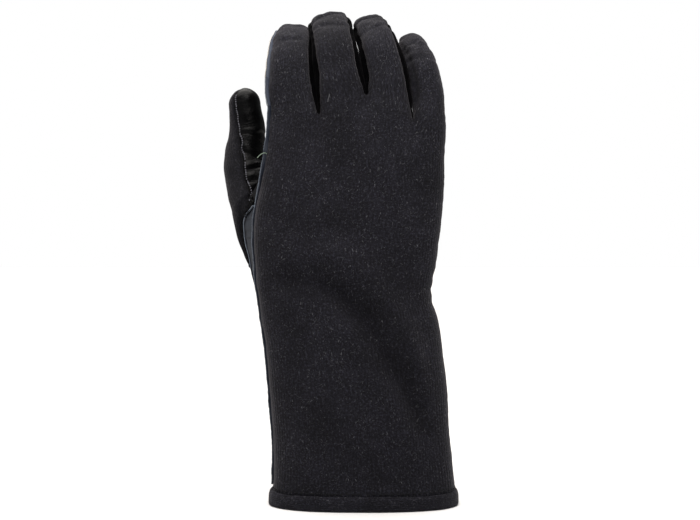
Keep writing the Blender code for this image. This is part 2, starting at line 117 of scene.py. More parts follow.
THUMB = np.array([
    (156.0, -53.0, 10.0, 18.0, 17.0),
    (176.0, -63.6, 21.5, 15.4, 15.4),
    (199.0, -70.6, 30.0, 12.8, 12.8),
    (221.0, -69.8, 34.0, 10.2, 11.0),
    (247.5, -72.8, 35.5, 8.6, 9.2),
])
THUMB_BACK = np.array((-0.94, 0.33, 0.0))


def ramp(t):
    t = np.clip(t, 0.0, 1.0)
    return t * t * (3.0 - 2.0 * t)


def mix(a, b, t):
    return a + (b - a) * t


def spower(v, p):
    return np.sign(v) * np.abs(v) ** p


def bell(t, width):
    return np.exp(-((t / width) ** 2))


def run_of(line):
    """Distances along a line of points, from its start."""
    return np.concatenate([[0], np.cumsum(np.linalg.norm(np.diff(line, axis=0), axis=1))])


def points_at(at, run, line):
    """The points of a line at some distances along it."""
    return np.stack([np.interp(at, run, line[:, j]) for j in range(3)], -1)


def section(angle, half_width, half_depth, power):
    """0 degrees is the back, 90 the little-finger side, 180 the palm."""
    a = np.radians(angle)
    x = half_width * spower(np.sin(a), 2.0 / power)
    y = -half_depth * spower(np.cos(a), 2.0 / power)
    return x, y


def smooth_table(table, at):
    """Catmull-Rom through the rows of a table, by its first column."""
    at = np.atleast_1d(np.asarray(at, float))
    keys = table[:, 0]
    i = np.clip(np.searchsorted(keys, at, side="right") - 1, 0, len(keys) - 2)
    before, after = np.clip(i - 1, 0, None), np.clip(i + 2, None, len(keys) - 1)
    a, b, c, d = table[before], table[i], table[i + 1], table[after]
    t = ((at - keys[i]) / (keys[i + 1] - keys[i]))[:, None]
    # tangents by the real spacing, so that uneven rows stay smooth
    span = (keys[i + 1] - keys[i])[:, None]
    left = np.maximum((keys[i + 1] - keys[before])[:, None], 1e-6)
    right = np.maximum((keys[after] - keys[i])[:, None], 1e-6)
    m1 = (c - a) / left * span
    m2 = (d - b) / right * span
    t2, t3 = t * t, t * t * t
    out = (2 * t3 - 3 * t2 + 1) * b + (t3 - 2 * t2 + t) * m1 + (3 * t2 - 2 * t3) * c + (t3 - t2) * m2
    out[:, 0] = at
    return out


def tube_point(height, angle):
    height, angle = np.broadcast_arrays(np.asarray(height, float), np.asarray(angle, float))
    rows = smooth_table(TUBE, height.ravel())
    left, right, back, palm = rows[:, 1], rows[:, 2], rows[:, 3], rows[:, 4]
    x, y = section(angle.ravel(), (right - left) / 2, (palm - back) / 2, TUBE_POWER)
    out = np.stack([(left + right) / 2 + x, (back + palm) / 2 + y, height.ravel()], 1)
    return out.reshape(height.shape + (3,))


class Finger:
    def __init__(self, name, d):
        self.name, self.d = name, d
        self.length = sum(d["bones"]) + TIP_LENGTH
        self.joints = (BASE_JOINT, d["bones"][0], d["bones"][0] + d["bones"][1])
        path = [np.array(d["root"])]
        for i in range(int(self.length) + 1):
            path.append(path[-1] + self.direction(i + 0.5))
        self.path = np.array(path)

    def curl_at(self, s):
        low, middle, tip = self.d["curl"]
        first = ramp((s - self.joints[1] + 9.0) / 18.0)
        second = ramp((s - self.joints[2] + 9.0) / 18.0)
        return np.radians(low + (middle - low) * first + (tip - middle) * second)

    def frame_at(self, s):
        """Along the finger and across it, before it curls."""
        lean = math.radians(mix(*self.d["lean"], ramp(s / self.length)))
        sine, cosine = math.sin(lean), math.cos(lean)
        return np.array((sine, 0.0, cosine)), np.array((cosine, 0.0, -sine))

    def direction(self, s):
        c = self.curl_at(s)
        return self.frame_at(s)[0] * math.cos(c) + np.array((0, 1, 0)) * math.sin(c)

    def palmward(self, s):
        c = self.curl_at(s)
        return np.array((0, 1, 0)) * math.cos(c) - self.frame_at(s)[0] * math.sin(c)

    def centre(self, s):
        i = min(int(s), len(self.path) - 2)
        return mix(self.path[i], self.path[i + 1], s - i)

    def ring(self, s, angles):
        share = ramp(s / self.length)
        width, depth = mix(*self.d["width"], share), mix(*self.d["depth"], share)
        past = max(s - (self.length - TIP_LENGTH), 0.0) / TIP_LENGTH
        cap = math.sqrt(max(1.0 - past * past, 0.0))
        broad = max(1.0 - past ** 2.6, 0.0) ** 0.45  # the tip is squarer across than in depth
        x, y = section(np.asarray(angles, float), width * broad, depth * cap, FINGER_POWER)
        return self.centre(s) + np.outer(x, self.frame_at(s)[1]) + np.outer(y, self.palmward(s))


fingers = [Finger(n, d) for n, d in FINGERS.items()]

# Column angles round the back: even steps of arc within each finger's sector.
dense = np.linspace(-90.0, 90.0, 1801)
line = tube_point(226.0, dense)
arc = run_of(line)
edge_arcs = [0.0] + [float(np.interp(x, line[:, 0], arc)) for x in SECTOR_X] + [arc[-1]]
column_arc = [0.0]
for k, f in enumerate(fingers):
    column_arc += list(np.linspace(edge_arcs[k], edge_arcs[k + 1], f.d["cells"] + 1))[1:]
column_arc = np.array(column_arc)
back_angle = np.interp(column_arc, arc, dense)
HALF = len(back_angle) - 1
sector_start = np.cumsum([0] + [f.d["cells"] for f in fingers])
ring_angle = np.concatenate([back_angle, 180.0 - back_angle[::-1][1:-1]])
COLS = 2 * HALF
ring_arc = np.concatenate([column_arc, arc[-1] + (arc[-1] - column_arc[::-1][1:-1])])

# Height of the top row over each column: straight from fork to fork.
tops = np.zeros(HALF + 1)
for k, f in enumerate(fingers):
    low, high = f.d["forks"]
    low = f.d["root"][2] if low is None else low
    high = f.d["root"][2] if high is None else high
    a, b = sector_start[k], sector_start[k + 1]
    tops[a:b + 1] = np.linspace(low, high, b - a + 1)
ring_top = np.concatenate([tops, tops[::-1][1:-1]])
BOTTOM, SHOULDER = 5.0, 200.0
ROWS = 136
GORE_CELLS, HOLE_CELLS = 5, 12
GORE_WIDTH = column_arc[GORE_CELLS]
# rows are level low down and follow the forks higher up
levels = np.linspace(0.0, 1.0, ROWS + 1)[:, None]
heights = mix(BOTTOM, SHOULDER, levels) + ramp((levels - 0.45) / 0.55) * (ring_top - SHOULDER)

points = []


def add(coords):
    """Adds points and gives their indices, in the same shape."""
    coords = np.asarray(coords, float)
    start = sum(len(p) for p in points)
    flat = coords.reshape(-1, 3)
    points.append(flat)
    return (start + np.arange(len(flat))).reshape(coords.shape[:-1])


# The side seam lies on the edge of the cuff and turns towards the back higher up.
ROUND = 2 * arc[-1]
palm_side = np.arange(COLS) > HALF
seam_arc = (ROUND - ring_arc) % ROUND  # from the side seam, round the palm
# the gore closes to a point at its top: its columns draw in to the side seam there
closing = ramp((heights - 162.0) / 16.0) * (1.0 - ramp((heights - 178.0) / 25.0))
drawn = 0.76 * np.minimum(seam_arc, GORE_WIDTH) * (1.0 - ramp((seam_arc - GORE_WIDTH) / 30.0))
seam_arc = seam_arc - np.where(palm_side, closing * drawn, 0.0)
round_arc = np.where(seam_arc > 0.0, ROUND - seam_arc, 0.0)
round_angle = np.interp(round_arc, np.append(ring_arc, ROUND), np.append(ring_angle, 270.0))
from_seam = np.minimum(round_arc, ROUND - round_arc)
turn_share = np.cos(np.clip(from_seam / 30.0, 0.0, 1.0) * math.pi / 2) ** 2
turned = round_angle + SEAM_TURN * ramp((heights - 165.0) / 50.0) * turn_share
hand = tube_point(heights, turned)

# Valleys that run down from the forks.
inward = np.where(palm_side, -1.0, 1.0)
for x0, f in zip(SECTOR_X, fingers):
    z0 = f.d["forks"][1]
    near = bell(hand[..., 0] - x0 + 0.10 * (z0 - hand[..., 2]), 4.2)
    hand[..., 1] += 3.2 * near * ramp((hand[..., 2] - (z0 - 26.0)) / 26.0) * inward

# The flare of the thumb's root, on the palm's thumb side.
flare_z = np.array([(104, 0), (112, 1.0), (120, 2.6), (128, 4.0), (136, 5.8), (142, 6.6), (153, 8.6),
                    (164, 10.2), (173, 9.8), (181, 7.2), (190, 3.0), (199, 0.0)], float)
amount = smooth_table(flare_z, heights.ravel())[:, 1].reshape(heights.shape)
amount = np.where((heights < 105) | (heights > 198), 0.0, np.maximum(amount, 0.0))
reach = np.where(palm_side, ramp(seam_arc / 8.0) * (1.0 - ramp((seam_arc - 26.0) / 18.0)), 0.0)
turn = ramp((seam_arc - 8.0) / 22.0)
hand[..., 0] -= amount * reach * mix(1.0, 0.15, turn)
hand[..., 1] += amount * reach * mix(0.18, 0.62, turn)

H = add(hand)

# Thumb hole: a block of palm cells beside the gore.
hole_right = COLS - GORE_CELLS  # column of the hole's edge beside the gore
hole_left = hole_right - HOLE_CELLS
mean_height = heights[:, hole_right]
hole_low = int(np.argmin(abs(mean_height - 134.0)))
hole_high = int(np.argmin(abs(mean_height - 176.0)))

quads = []  # (a, b, c, d, panel, part)
uvs = []  # four corners for each quad

PANELS = ["back", "cuff_palm", "palm", "gore", "wall", "thumb_knit", "thumb_pad"]


def add_grid(ids, u, v, panel, part, closed=False):
    """Faces between rows and columns of ids; panel and part are arrays over the faces."""
    rows, cols = ids.shape
    for r in range(rows - 1):
        for c in range(cols if closed else cols - 1):
            if panel[r, c] == "hole":
                continue
            n = (c + 1) % cols
            quads.append((ids[r, c], ids[r, n], ids[r + 1, n], ids[r + 1, c], panel[r, c], part[r, c]))
            uvs.append([(u[i, j], v[i, j]) for i, j in ((r, c), (r, c + 1), (r + 1, c + 1), (r + 1, c))])


SEWN = {"back": "glove_back", "palm": "glove_palm", "cuff_palm": "cuff_inner_side",
        "gore": "thumb_gore_leather"}
CUFF_SEAM = 84.0
cuff_seam_row = int(np.argmin(abs(heights[:, HALF + 20] - CUFF_SEAM)))
panel_of = np.full((ROWS, COLS), "back", object)
panel_of[:, HALF:] = "palm"
panel_of[:cuff_seam_row, HALF:] = "cuff_palm"
panel_of[hole_low - 8:hole_high, hole_right:] = "gore"
panel_of[hole_low:hole_high, hole_left:hole_right] = "hole"
part_of = np.vectorize(SEWN.get, otypes=[object])(panel_of)
u = np.append(ring_arc, ROUND)[None, :] + np.zeros((ROWS + 1, 1))
v = np.append(heights, heights[:, :1], axis=1)
add_grid(H, u, v, panel_of, part_of, closed=True)

# Fingers: rings of points from the hand's top row to a round end.
arc_at, top_at = np.append(ring_arc, ROUND), np.append(ring_top, ring_top[0])
DOME = TIP_LENGTH * np.sin(np.radians(np.linspace(0, 84, 9)[1:]))
for k, f in enumerate(fingers):
    a, b = sector_start[k], sector_start[k + 1]
    back_ids = H[ROWS, a:b + 1]
    palm_ids = H[ROWS, COLS - b:COLS - a + 1] if a > 0 else np.append(H[ROWS, COLS - b:], H[ROWS, 0])
    has_left, has_right = (fork is not None for fork in f.d["forks"])
    left_angle, right_angle = -f.d["seam"][0], f.d["seam"][1]

    def even(first, last, cells):
        """Angles in even steps of arc between two angles."""
        fine = np.linspace(first, last, 400)
        x, y = section(fine, f.d["width"][0], f.d["depth"][0], FINGER_POWER)
        run = np.concatenate([[0], np.cumsum(np.hypot(np.diff(x), np.diff(y)))])
        return np.interp(np.linspace(0, run[-1], cells + 1), run, fine), run[-1]

    # round the finger: what each side is, its angles and its width; base is the ring on the hand
    f.sides = [("back", *even(left_angle, right_angle, b - a))]
    base = list(back_ids[:-1])
    if has_right:
        f.sides.append(("little_side", *even(right_angle, 180 - right_angle, WALL_CELLS)))
        # the web between two fingers, from the back to the palm
        all_points = np.concatenate(points)
        t = np.linspace(0, 1, WALL_CELLS + 1)[1:-1, None]
        web = mix(all_points[back_ids[-1]], all_points[palm_ids[0]], t)
        web[:, 2] -= 0.8 * np.sin(np.pi * t[:, 0])
        f.web = add(web)
        base += [back_ids[-1], *f.web]
    palm_end = 180 - left_angle if has_left else 360 + left_angle
    f.sides.append(("palm", *even(180 - right_angle, palm_end, b - a)))
    base += list(palm_ids[:-1])
    if has_left:
        f.sides.append(("thumb_side", *even(180 - left_angle, 360 + left_angle, WALL_CELLS)))
        base += [palm_ids[-1], *fingers[k - 1].web[::-1]]
    base = np.array(base)
    angles = np.concatenate([side[1][:-1] for side in f.sides])
    f.starts = np.cumsum([0] + [len(side[1]) - 1 for side in f.sides])
    straight = np.linspace(0, 1, 40)[1:] * (f.length - TIP_LENGTH)
    stations = np.concatenate([straight, f.length - TIP_LENGTH + DOME])
    f.cuts = ((f.joints[0] + f.joints[1]) / 2 + 1.0, (f.joints[1] + f.joints[2]) / 2)
    rest = np.concatenate(points)[base] - f.ring(0.0, angles)
    rings = np.array([f.ring(s, angles) + rest * (1.0 - ramp(s / 13.0)) for s in stations])
    f.ids = np.concatenate([base[None, :], add(rings)])
    f.rows = np.append(0.0, stations)
    along = (f.rows[:-1] + f.rows[1:]) / 2
    bones = np.where(along < f.cuts[0], "lower", np.where(along < f.cuts[1], "middle", "tip"))
    for i, (kind, _, run) in enumerate(f.sides):
        cols = np.arange(f.starts[i], f.starts[i + 1] + 1)
        # on the back and the palm, u and v run on from the hand
        first = {"back": a, "palm": COLS - b}.get(kind)
        if first is None:
            u, v = 400.0 + 40.0 * k + np.linspace(0, run, len(cols)), np.full(len(cols), 226.0)
        else:
            u, v = arc_at[first:first + len(cols)], top_at[first:first + len(cols)]
        part = np.array([[f"{f.name}_{bone}_{kind}"] * (len(cols) - 1) for bone in bones], object)
        panel = np.full(part.shape, "wall" if first is None else kind, object)
        add_grid(f.ids[:, cols % len(angles)], u + 0.0 * f.rows[:, None], v + f.rows[:, None], panel, part)
    f.pole = int(add(np.mean(rings[-1], axis=0)[None, :] + f.direction(f.length) * 0.1)[0])

# Thumb.


def thumb_frame(height):
    low, high = THUMB[0, 0], THUMB[-1, 0]
    row = smooth_table(THUMB, min(height, high))[0]
    ahead = smooth_table(THUMB, min(height + 1.0, high))[0][[1, 2, 0]]
    behind = smooth_table(THUMB, max(min(height, high) - 1.0, low))[0][[1, 2, 0]]
    forward = ahead - behind
    forward /= np.linalg.norm(forward)
    back = THUMB_BACK - forward * THUMB_BACK.dot(forward)
    back /= np.linalg.norm(back)
    across = np.cross(forward, back)
    past = max(height - (high - TIP_LENGTH), 0.0) / TIP_LENGTH
    cap = math.sqrt(max(1.0 - past * past, 0.0))
    return row[[1, 2, 0]], forward, across, back, row[3] * cap, row[4] * cap


def thumb_ring(height, angles):
    centre, forward, across, back, width, depth = thumb_frame(height)
    x, y = section(angles, width, depth, THUMB_POWER)
    return centre + np.outer(x, across) - np.outer(y, back)


# The thumb starts on the rim of its hole, from the middle of the rim's lower side.
mid = (hole_left + hole_right) // 2
rim_sides = [
    H[hole_low, mid:hole_right + 1], H[hole_low + 1:hole_high + 1, hole_right],
    H[hole_high, hole_left:hole_right][::-1], H[hole_low:hole_high, hole_left][::-1],
    H[hole_low, hole_left + 1:mid],
]
loop = np.concatenate(rim_sides)
count = len(loop)
_, n1, n2, n3, _ = np.cumsum([len(side) for side in rim_sides]) - 1
# the knit runs up the gore to the hole's top corner, where the pad begins
thumb_q = np.interp(np.arange(count), [0, n1 - 1, n2, (n2 + n3) / 2, count], [0, 86, 180, 270, 360])
loop_points = np.concatenate(points)[loop]
ROOT, ROOT_TOP = 160.0, 176.0
high = THUMB[-1, 0]
lofted = np.linspace(0, 1, 15)[1:-1]
body = np.linspace(ROOT_TOP, high - TIP_LENGTH, 44)
cap = high - TIP_LENGTH + DOME
seam_table = np.array([(160, 96), (176, 100), (188, 101), (199, 105), (207, 99), (221, 81), (236, 74),
                       (252, 70)], float)


def thumb_angles(height):
    seam = smooth_table(seam_table, height)[0, 1]
    window = 0.5 * (1.0 + np.sin(np.radians(thumb_q)))
    return thumb_q + (seam - 84.0) * window


first_ring = thumb_ring(ROOT_TOP, thumb_angles(ROOT_TOP))
rings = []
for t in lofted:
    ring = mix(loop_points, first_ring, mix(t, ramp(t), 0.5))
    swell = 0.5 * (1.0 + np.cos(np.radians(thumb_q - 20.0)))
    rings.append(ring - np.outer(swell, (2.4 * math.sin(math.pi * t), 0, 0)))
rings += [thumb_ring(h, thumb_angles(h)) for h in np.concatenate([body, cap])]
rings = np.array(rings)
thumb_ids = np.concatenate([loop[None, :], add(rings)])
thumb_heights = np.concatenate([[ROOT], mix(ROOT, ROOT_TOP, lofted), body, cap])
loops_now = np.concatenate([loop_points[None], rings])
seam_a, seam_b = (int(np.argmin(abs(thumb_q - angle))) for angle in (84.0, 286.0))
THUMB_CUT = 198.0
column = np.arange(count)
thumb_side = np.where((column < seam_a) | (column >= seam_b), "back", "pad")
is_lower = (thumb_heights[:-1] + thumb_heights[1:]) / 2 < THUMB_CUT
part = np.array([["thumb_" + ("lower_" if low else "tip_") + side for side in thumb_side]
                 for low in is_lower], object)
THUMB_PANEL = {"back": "thumb_knit", "pad": "thumb_pad"}
panel = np.array([[THUMB_PANEL[side] for side in thumb_side]] * len(is_lower), object)
steps_now = np.linalg.norm(np.roll(loops_now, -1, axis=1) - loops_now, axis=2)
u = np.concatenate([np.zeros((len(steps_now), 1)), np.cumsum(steps_now, axis=1)], axis=1)
u = u - 0.5 * u[:, -1:]
v = 150.0 + run_of(loops_now.mean(axis=1))[:, None] + np.zeros((1, count + 1))
add_grid(thumb_ids, u, v, panel, part, closed=True)
thumb_pole = int(add((rings[-1].mean(axis=0) + np.array((0, 0, 0.1)))[None, :])[0])

# The tips close in fans: a finger's belongs to the back and the palm, not to its side walls.
coarse = np.concatenate(points)
tris = []
for f in fingers:
    tip = f.ids[-1]
    for c in range(len(tip)):
        kind = "back" if c < f.starts[1] else "palm"
        tris.append((tip[c], tip[(c + 1) % len(tip)], f.pole, kind, f"{f.name}_tip_{kind}"))
for c, side in enumerate(thumb_side):
    tris.append((thumb_ids[-1, c], thumb_ids[-1, (c + 1) % count], thumb_pole,
                 THUMB_PANEL[side], f"thumb_tip_{side}"))

# ---- from the skin to fine meshes

parts = sorted({q[5] for q in quads} | {t[4] for t in tris})
part_index = {p: i for i, p in enumerate(parts)}
panel_index = {p: i for i, p in enumerate(PANELS)}


def scene_object(name, data):
    obj = bpy.data.objects.new(name, data)
    bpy.context.scene.collection.objects.link(obj)
    return obj


def skin_object(coords):
    mesh = bpy.data.meshes.new("skin")
    cells = quads + tris
    faces = [tuple(int(i) for i in cell[:-2]) for cell in cells]
    mesh.from_pydata([tuple(p) for p in coords], [], faces)
    for name, index, at in (("part", part_index, -1), ("panel", panel_index, -2)):
        values = [index[cell[at]] for cell in cells]
        mesh.attributes.new(name, "INT", "FACE").data.foreach_set("value", values)
    flat = [c for face in uvs for corner in face for c in corner]
    for t in tris:
        for i in t[:3]:
            x, y, z = coords[i]
            flat += [x + 60.0, z + y]
    mesh.uv_layers.new(name="UVMap").data.foreach_set("uv", flat)
    mesh.update()
    return scene_object("skin", mesh)


def read(data, key, size, kind=int):
    values = np.empty(size, kind)
    data.foreach_get(key, values)
    return values


def read_mesh(obj):
    """Points, faces, uv corners, and the faces' part and panel, of the evaluated mesh."""
    evaluated = obj.evaluated_get(bpy.context.evaluated_depsgraph_get())
    mesh = evaluated.to_mesh()
    faces = len(mesh.polygons)
    co = read(mesh.vertices, "co", len(mesh.vertices) * 3, float)
    loops = read(mesh.loops, "vertex_index", len(mesh.loops))
    uv = read(mesh.uv_layers["UVMap"].data, "uv", len(mesh.loops) * 2, float)
    labels = [read(mesh.attributes[key].data, "value", faces) for key in ("part", "panel")]
    corners = read(mesh.polygons, "loop_start", faces)[:, None] + np.arange(4)
    evaluated.to_mesh_clear()
    return co.reshape(-1, 3), loops[corners], uv.reshape(-1, 2)[corners], *labels


skin = skin_object(coarse)
subdivide = skin.modifiers.new("Fine", "SUBSURF")
subdivide.levels = subdivide.render_levels = 1
subdivide.boundary_smooth = "PRESERVE_CORNERS"
P, F, UVC, part_id, panel_id = read_mesh(skin)
bpy.data.objects.remove(skin, do_unlink=True)


def normals_of(co, faces):
    a, b, c, d = (co[faces[:, i]] for i in range(4))
    fn = np.cross(c - a, d - b)
    out = np.zeros_like(co)
    for i in range(4):
        np.add.at(out, faces[:, i], fn)
    return out / np.maximum(np.linalg.norm(out, axis=1, keepdims=True), 1e-12)


def tree_of(spots):
    tree = KDTree(len(spots))
    for i, p in enumerate(spots):
        tree.insert(Vector(p), i)
    tree.balance()
    return tree


def points_of(chosen):
    """Marks the points of the chosen faces."""
    mark = np.zeros(len(P), bool)
    mark[np.unique(F[chosen])] = True
    return mark


def on_panels(*names):
    return points_of(np.isin(panel_id, [panel_index[n] for n in names]))


N = normals_of(P, F)

# Seams: edges between faces of different panels. The side seam is among them.
ends = np.concatenate([F[:, [i, (i + 1) % 4]] for i in range(4)])
owner = np.tile(np.arange(len(F)), 4)
key = np.sort(ends, axis=1)
order = np.lexsort((key[:, 1], key[:, 0]))
key, owner = key[order], owner[order]
same = (key[1:] == key[:-1]).all(axis=1)
pa, pb = panel_id[owner[:-1]], panel_id[owner[1:]]
crossing = same & (pa != pb)
seam_points = np.unique(key[:-1][crossing])
wall = panel_index["wall"]
wall_seam = np.isin(seam_points, key[:-1][crossing & ((pa == wall) | (pb == wall))])
tree = tree_of(P[seam_points])
nearest = [tree.find(Vector(p)) for p in P]
seam_dist = np.array([hit[2] for hit in nearest])
# the seams along the walls between the fingers are turned in and pull less
by_wall = wall_seam[[hit[1] for hit in nearest]]
seam_pull = np.where(by_wall, 0.45, 1.0)


def field(scale, seed, stretch=(1.0, 1.0, 1.0)):
    """Smooth noise at the skin's points, about -1 to 1."""
    shift = Vector((seed * 3.17, seed * 1.71, seed * 5.03))
    return np.array([noise.noise(Vector(p) + shift) for p in P / scale / np.array(stretch)])


front = N[:, 1] < 0.0
x, z = P[:, 0], P[:, 2]
# seams sink, and the cloth beside them stands up a little
move = seam_pull * (-0.85 * bell(seam_dist, 0.9) + 0.10 * bell(seam_dist - 3.0, 1.8))
move += 0.30 * field(3.4, 2.0) * bell(seam_dist, 4.5)
# large soft swells, mid folds and the cloth's fine unevenness
calm = ramp((z - 4.0) / 16.0)
move += 0.9 * field(34.0, 1.0, (1.0, 1.0, 1.5)) * calm
move += 0.34 * field(11.0, 5.0, (1.6, 1.6, 1.0)) * calm
is_knit = on_panels("back", "cuff_palm", "wall", "thumb_knit")
move += np.where(is_knit, 0.07, 0.03) * field(1.7, 8.0)
# the soft fold that runs down across the wrist
FALL, BEND_X, BEND = 1.65, -12.0, 8.0
fall = FALL / (1.0 + np.exp(-(x - BEND_X) / BEND))
fold_z = 131.0 - FALL * BEND * np.log1p(np.exp((x - BEND_X) / BEND))
across = (z - fold_z) / np.sqrt(1.0 + fall * fall) + 1.6 * field(18.0, 9.0)
window = mix(0.55, 1.0, ramp((x + 34.0) / 22.0)) * ramp((x + 54.0) / 16.0) * ramp((40.0 - x) / 14.0) * front
move += window * (-5.0 * bell(across, 7.5) + 3.4 * bell(across - 15.0, 8.5) + 1.2 * bell(across + 13.0, 8.0))
# painted shade: the fold's valley is darkened in the colour as well as sunk
fold_and_slit_shade = 0.62 * window * bell(across + 2.0, 8.5)
# the cloth rolls over into the slits between the fingers, and the shade there is painted into its colour
fold_and_slit_shade = np.maximum(fold_and_slit_shade, np.where(by_wall, 1.05 * bell(seam_dist, 2.7), 0.0))
move += np.where(by_wall, -0.45 * bell(seam_dist, 1.9), 0.0)
# short folds at the nip of the wrist, little-finger side
for at, deep in ((125.0, 0.5), (132.5, 0.35), (117.0, 0.3)):
    move += -deep * bell(x - 41.0, 9.0) * bell(z - at - 0.12 * (x - 41.0), 2.6)
# the walls between the fingers swell towards each other
swell = np.where(on_panels("wall"), 1.45 * (1.0 - bell(seam_dist, 2.6)), 0.0)
move += swell * ramp((z - 226.0) / 14.0) * (1.0 - 0.7 * ramp((z - 256.0) / 14.0))


def crease(centre, along, across, slope, width, deep, reach, seed):
    """A fold that runs across a finger or the thumb: a valley with a soft swell beside it."""
    rel = P - centre
    off = rel @ along - slope * (rel @ across) + 1.7 * field(6.0, seed)
    hold = np.exp(-((rel @ across / reach) ** 4)) * (np.linalg.norm(rel, axis=1) < 45.0)
    return hold * (-deep * bell(off, width) + 0.6 * deep * bell(off - 2.4 * width, 1.7 * width))


back_facing = N[:, 1] < 0.35
# for each finger: how far out, slope, width and depth
for f, folds in zip(fingers, (
    ((38.0, 0.10, 1.6, 0.35), (55.0, -0.10, 2.2, 0.5)),
    ((40.0, -0.14, 1.8, 0.35), (51.0, 0.30, 1.5, 1.0)),
    ((38.0, 0.18, 1.6, 0.35), (50.0, -0.34, 1.6, 1.1)),
    ((34.0, -0.20, 1.5, 0.35), (47.0, 0.16, 1.6, 0.5)),
)):
    own = points_of(np.isin(part_id, [i for n, i in part_index.items() if n.startswith(f.name + "_")]))
    for n, (at, *shape) in enumerate(folds):
        fold = crease(f.centre(at), f.direction(at), f.frame_at(at)[1], *shape, 11.0, 20.0 + n)
        move += fold * own * back_facing
    # the filled tip is a little lumpy
    tip = own * ramp((np.linalg.norm(P - f.centre(0.0), axis=1) - 34.0) / 12.0)
    move += 0.85 * tip * field(6.0, 31.0)

# the pad of the thumb gathers above the hand and creases at its joint
is_pad = on_panels("thumb_pad")
for n, (at, *shape) in enumerate((
    (177.5, 0.35, 1.5, 1.6), (184.0, -0.22, 1.3, 1.5), (190.5, 0.30, 1.2, 1.0), (205.0, -0.35, 1.3, 0.6),
    (216.0, 0.25, 1.2, 0.5),
)):
    centre, forward = thumb_frame(at)[:2]
    move += crease(centre, forward, np.array((1.0, 0.0, 0.0)), *shape, 14.0, 40.0 + n) * is_pad
move += np.where(on_panels("thumb_pad", "thumb_knit"), 0.5 * field(9.0, 43.0), 0.0)
fine = P + N * move[:, None]
fine_normals = normals_of(fine, F)

KNIT_THICK, LEATHER_THICK = 1.3, 1.0

collection = bpy.data.collections.new("glove")
bpy.context.scene.collection.children.link(collection)


def place(name, data):
    obj = bpy.data.objects.new("sewn_" + name, data)
    collection.objects.link(obj)
    return obj


def dress(obj, material, slot):
    obj.data.materials.append(material)
    return obj


def new_mesh(name, spots, faces, uv, sunken=None):
    """A smooth mesh of points in millimetres; the last argument is painted shade: how dark each point is
    painted in a seam, the wrist fold or a slit.
    """
    mesh = bpy.data.meshes.new(name)
    mesh.from_pydata([tuple(p) for p in np.asarray(spots) * MM], [], faces)
    mesh.uv_layers.new(name="UVMap").data.foreach_set("uv", np.ravel(uv))
    if sunken is not None:
        mesh.attributes.new("sunken", "FLOAT", "POINT").data.foreach_set("value", sunken)
    mesh.shade_smooth()
    return mesh


def make_piece(name, pid):
    """One panel as a closed piece of cloth: outer face, inner face and cut edge."""
    chosen = np.nonzero(part_id == pid)[0]
    used, local = np.unique(F[chosen], return_inverse=True)
    local = local.reshape(-1, 4)
    n = len(used)
    outward = fine_normals[used]
    panel = PANELS[panel_id[chosen[0]]]
    thick = KNIT_THICK if panel in ("back", "cuff_palm", "thumb_knit") else LEATHER_THICK
    both = np.concatenate([fine[used], fine[used] - outward * thick])
    sides = np.concatenate([local[:, [i, (i + 1) % 4]] for i in range(4)])
    corner = np.concatenate([np.stack([chosen, np.full(len(chosen), i)], 1) for i in range(4)])
    _, inv, cnt = np.unique(np.sort(sides, axis=1), axis=0, return_inverse=True, return_counts=True)
    rim = cnt[inv.reshape(-1)] == 1
    (a, b), (face, i) = sides[rim].T, corner[rim].T
    rim_faces = np.stack([b, a, a + n, b + n], 1)
    ua, ub = UVC[face, i], UVC[face, (i + 1) % 4]
    uv = np.concatenate([UVC[chosen], UVC[chosen][:, ::-1], np.stack([ub, ua, ua, ub], 1)])
    # painted shade: darkness painted along the seams and in the wrist fold and the slits
    sunken = np.tile(np.maximum(bell(seam_dist[used], 1.6), fold_and_slit_shade[used]), 2)
    faces = np.concatenate([local, local[:, ::-1] + n, rim_faces])
    mesh = new_mesh(name, both, faces.tolist(), uv, sunken)
    # normals of the whole skin, so that pieces cut from it meet without a line
    rim_normal = np.cross(both[a] - both[b], both[b + n] - both[b])
    rim_normal /= np.maximum(np.linalg.norm(rim_normal, axis=1, keepdims=True), 1e-9)
    custom = np.concatenate([outward[local], -outward[local[:, ::-1]],
                             np.repeat(rim_normal[:, None, :], 4, axis=1)])
    mesh.normals_split_custom_set([tuple(v) for v in custom.reshape(-1, 3)])
    return place(name, mesh)


pieces = {name: make_piece(name, pid) for name, pid in part_index.items()}

# ---- materials


class Nodes:
    """A node tree with short ways to add to it."""

    def __init__(self, owner):
        owner.use_nodes = True
        self.tree = owner.node_tree

    def put(self, slot, value):
        """Sets an input to a number, a vector or a colour, or links it."""
        if isinstance(value, (int, float)):
            slot.default_value = value
        elif isinstance(value, tuple):
            slot.default_value = (*value, 1.0) if slot.type == "RGBA" else value
        else:
            self.tree.links.new(value, slot)

    def add(self, kind, inputs=(), **props):
        node = self.tree.nodes.new(kind)
        for key, value in props.items():
            setattr(node, key, value)
        for key, value in dict(inputs).items():
            self.put(node.inputs[key], value)
        return node


